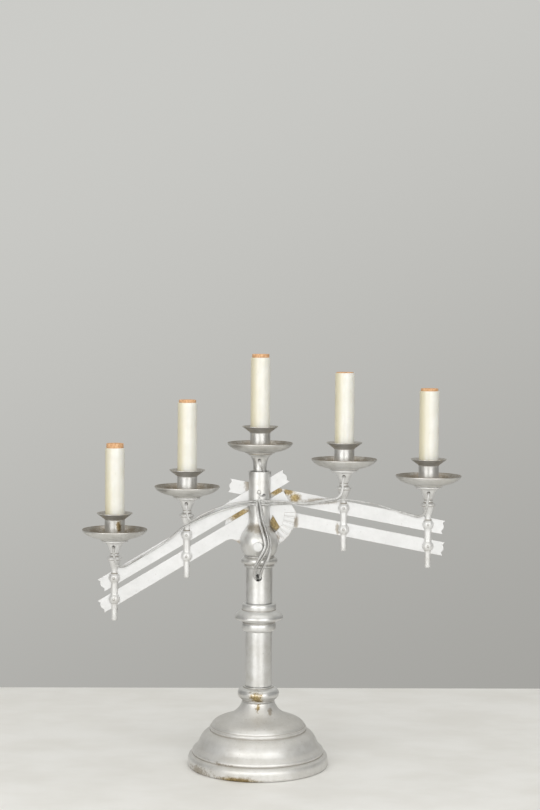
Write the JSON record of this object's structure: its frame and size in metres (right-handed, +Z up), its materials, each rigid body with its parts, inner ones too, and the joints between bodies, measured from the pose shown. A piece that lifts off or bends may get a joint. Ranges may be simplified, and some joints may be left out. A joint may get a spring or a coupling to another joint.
{
  "type": "tabletop candelabra",
  "caption": "Electric altar candelabra: a round-footed column with two adjustable parallelogram arms that keep their hanging candle lights upright.",
  "frame": {"origin": "middle of the felt under the foot, on the column's axis", "axes": "+Z up the column, +X towards the right arm, -Y towards the viewer in front"},
  "size_m": [0.4736, 0.1782, 0.5152],
  "materials": {
    "silver_paint": "sprayed silver over brass, brass worn through at edges",
    "ivory_sleeve": "glossy ivory candle sleeve",
    "fibre_socket": "orange-brown fibre lamp socket",
    "steel": "plain steel",
    "felt": "dark green felt",
    "rubber": "black moulded bushing",
    "silver_flex": "silver twin flex"
  },
  "bodies": {
    "column": {"base_shell": "silver_paint", "base_felt": "felt", "cord_bushing": "rubber", "base_collar": "silver_paint", "lower_stem": "silver_paint", "mid_knop": "silver_paint", "upper_stem": "silver_paint", "ring_collar": "silver_paint", "hub_housing": "silver_paint", "tie_rod": "steel", "tie_rod_nut": "steel", "hub_upper_pin": "steel", "hub_lower_pin": "steel", "centre_vase": "silver_paint", "centre_pan": "silver_paint", "centre_cup": "silver_paint", "centre_sleeve": "ivory_sleeve", "centre_socket": "fibre_socket", "front_spring": "steel", "rear_spring": "steel", "centre_lead": "silver_flex", "front_leads": "silver_flex"},
    "front_knob": {"front_knob": "silver_paint"},
    "rear_knob": {"rear_knob": "silver_paint"},
    "left_upper_bar": {"left_upper_bar": "silver_paint", "left_outer_lead": "silver_flex", "left_inner_lead": "silver_flex"},
    "left_lower_bar": {"left_lower_bar": "silver_paint"},
    "left_inner_pendant": {"left_inner_stem": "silver_paint", "left_inner_upper_pin": "steel", "left_inner_lower_pin": "steel", "left_inner_pan": "silver_paint", "left_inner_cup": "silver_paint", "left_inner_sleeve": "ivory_sleeve", "left_inner_socket": "fibre_socket"},
    "left_outer_pendant": {"left_outer_stem": "silver_paint", "left_outer_upper_pin": "steel", "left_outer_lower_pin": "steel", "left_outer_pan": "silver_paint", "left_outer_cup": "silver_paint", "left_outer_sleeve": "ivory_sleeve", "left_outer_socket": "fibre_socket"},
    "right_upper_bar": {"right_upper_bar": "silver_paint", "right_outer_lead": "silver_flex", "right_inner_lead": "silver_flex"},
    "right_lower_bar": {"right_lower_bar": "silver_paint"},
    "right_inner_pendant": {"right_inner_stem": "silver_paint", "right_inner_upper_pin": "steel", "right_inner_lower_pin": "steel", "right_inner_pan": "silver_paint", "right_inner_cup": "silver_paint", "right_inner_sleeve": "ivory_sleeve", "right_inner_socket": "fibre_socket"},
    "right_outer_pendant": {"right_outer_stem": "silver_paint", "right_outer_upper_pin": "steel", "right_outer_lower_pin": "steel", "right_outer_pan": "silver_paint", "right_outer_cup": "silver_paint", "right_outer_sleeve": "ivory_sleeve", "right_outer_socket": "fibre_socket"}
  },
  "joints": [
    {"name": "left_arm", "type": "hinge", "parent": "column", "child": "left_upper_bar", "pos_m": [0, -0.0019, 0.3456], "axis": [0, 1, 0], "range_deg": [-4.6, 67.4], "deforming": ["left_outer_lead", "left_inner_lead"]},
    {"name": "left_lower_arm", "type": "hinge", "parent": "column", "child": "left_lower_bar", "pos_m": [0, -0.0019, 0.3186], "axis": [0, 1, 0], "range_deg": [-4.6, 67.4]},
    {"name": "left_inner_swing", "type": "hinge", "parent": "left_upper_bar", "child": "left_inner_pendant", "pos_m": [-0.09133, -0.0019, 0.28985], "axis": [0, 1, 0], "range_deg": [-67.4, 4.6]},
    {"name": "left_outer_swing", "type": "hinge", "parent": "left_upper_bar", "child": "left_outer_pendant", "pos_m": [-0.18266, -0.0019, 0.2341], "axis": [0, 1, 0], "range_deg": [-67.4, 4.6]},
    {"name": "right_arm", "type": "hinge", "parent": "column", "child": "right_upper_bar", "pos_m": [0, 0.0019, 0.3456], "axis": [0, -1, 0], "range_deg": [-25.6, 46.4], "deforming": ["right_outer_lead", "right_inner_lead"]},
    {"name": "right_lower_arm", "type": "hinge", "parent": "column", "child": "right_lower_bar", "pos_m": [0, 0.0019, 0.3186], "axis": [0, -1, 0], "range_deg": [-25.6, 46.4]},
    {"name": "right_inner_swing", "type": "hinge", "parent": "right_upper_bar", "child": "right_inner_pendant", "pos_m": [0.10524, 0.0019, 0.32628], "axis": [0, -1, 0], "range_deg": [-46.4, 25.6]},
    {"name": "right_outer_swing", "type": "hinge", "parent": "right_upper_bar", "child": "right_outer_pendant", "pos_m": [0.21048, 0.0019, 0.30697], "axis": [0, -1, 0], "range_deg": [-46.4, 25.6]},
    {"name": "front_plunger", "type": "slide", "parent": "column", "child": "front_knob", "axis": [0, -1, 0], "range_m": [0, 0.003], "stiffness_N_per_m": 500, "springref_m": -0.003, "deforming": ["front_spring"]},
    {"name": "rear_plunger", "type": "slide", "parent": "column", "child": "rear_knob", "axis": [0, 1, 0], "range_m": [0, 0.003], "stiffness_N_per_m": 500, "springref_m": -0.003, "deforming": ["rear_spring"]}
  ],
  "couplings": [
    {"joint": "left_lower_arm", "follows": "left_arm", "ratio": 1},
    {"joint": "left_inner_swing", "follows": "left_arm", "ratio": -1},
    {"joint": "left_outer_swing", "follows": "left_arm", "ratio": -1},
    {"joint": "right_lower_arm", "follows": "right_arm", "ratio": 1},
    {"joint": "right_inner_swing", "follows": "right_arm", "ratio": -1},
    {"joint": "right_outer_swing", "follows": "right_arm", "ratio": -1}
  ]
}
